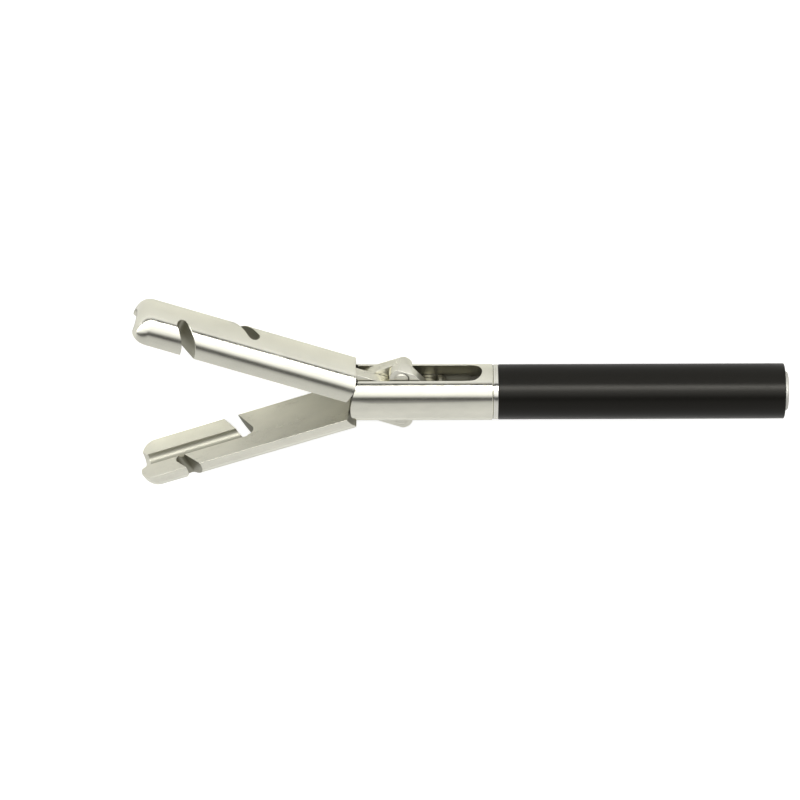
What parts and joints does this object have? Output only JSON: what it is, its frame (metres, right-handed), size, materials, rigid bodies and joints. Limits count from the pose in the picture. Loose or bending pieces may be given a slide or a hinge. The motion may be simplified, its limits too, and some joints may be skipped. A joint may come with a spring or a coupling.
{
  "type": "laparoscopic knot tying forceps working end",
  "caption": "Working end of knot tying forceps: two half-round steel jaws with slanted thread slots open on a slotted clevis, worked by a push rod and links in a black insulated tube.",
  "frame": {"origin": "on the tool axis at the rear end of the insulated tube", "axes": "+X along the tool to the jaw tips, +Z along the jaw pivot axis; the tool lies flat with its jaws opening to +Y and -Y"},
  "size_m": [0.0578, 0.0206, 0.005],
  "materials": {
    "black_insulation": "satin black shrink sleeve",
    "tube_steel": "drawn",
    "bush_steel": "turned",
    "ring_steel": "bright polished",
    "clevis_steel": "fine satin",
    "jaw_steel": "satin outside, ground inner face",
    "link_steel": "tumbled",
    "pin_steel": "ground",
    "rod_steel": "ground",
    "guide_polymer": "machined, dark filled polymer",
    "liner_polymer": "smooth",
    "seal_rubber": "moulded"
  },
  "bodies": {
    "shaft": {"insulation_sleeve": "black_insulation", "outer_tube": "tube_steel", "rear_guide_bush": "bush_steel", "neck_ring": "ring_steel", "clevis": "clevis_steel", "clevis_lock_pins": "pin_steel", "pivot_pin": "clevis_steel", "front_guide_bush": "guide_polymer", "rod_seal": "seal_rubber", "seal_retainer": "bush_steel"},
    "rod": {"drive_rod": "rod_steel", "rod_liner": "liner_polymer", "rod_head": "rod_steel", "drive_pin": "pin_steel"},
    "upper_jaw": {"upper_jaw": "jaw_steel", "upper_link_pin": "pin_steel"},
    "lower_jaw": {"lower_jaw": "jaw_steel", "lower_link_pin": "pin_steel"},
    "upper_jaw_link": {"upper_jaw_link": "link_steel"},
    "lower_jaw_link": {"lower_jaw_link": "link_steel"}
  },
  "joints": [
    {"name": "rod_slide", "type": "slide", "parent": "shaft", "child": "rod", "axis": [-1, 0, 0], "range_m": [0, 0.00148]},
    {"name": "upper_jaw_pivot", "type": "hinge", "parent": "shaft", "child": "upper_jaw", "pos_m": [0.03628, 0, 0], "axis": [0, 0, 1], "range_deg": [0, 21.5]},
    {"name": "lower_jaw_pivot", "type": "hinge", "parent": "shaft", "child": "lower_jaw", "pos_m": [0.03628, 0, 0], "axis": [0, 0, -1], "range_deg": [0, 21.5]},
    {"name": "upper_link_hinge", "type": "hinge", "parent": "rod", "child": "upper_jaw_link", "pos_m": [0.03163, 0, 0], "axis": [0, 0, -1], "range_deg": [0, 21.5]},
    {"name": "lower_link_hinge", "type": "hinge", "parent": "rod", "child": "lower_jaw_link", "pos_m": [0.03163, 0, 0], "axis": [0, 0, 1], "range_deg": [0, 21.5]}
  ],
  "couplings": [
    {"joint": "upper_jaw_pivot", "follows": "rod_slide", "rad_per_m": 254.25},
    {"joint": "lower_jaw_pivot", "follows": "rod_slide", "rad_per_m": 254.25},
    {"joint": "upper_link_hinge", "follows": "rod_slide", "rad_per_m": 254.25},
    {"joint": "lower_link_hinge", "follows": "rod_slide", "rad_per_m": 254.25}
  ]
}
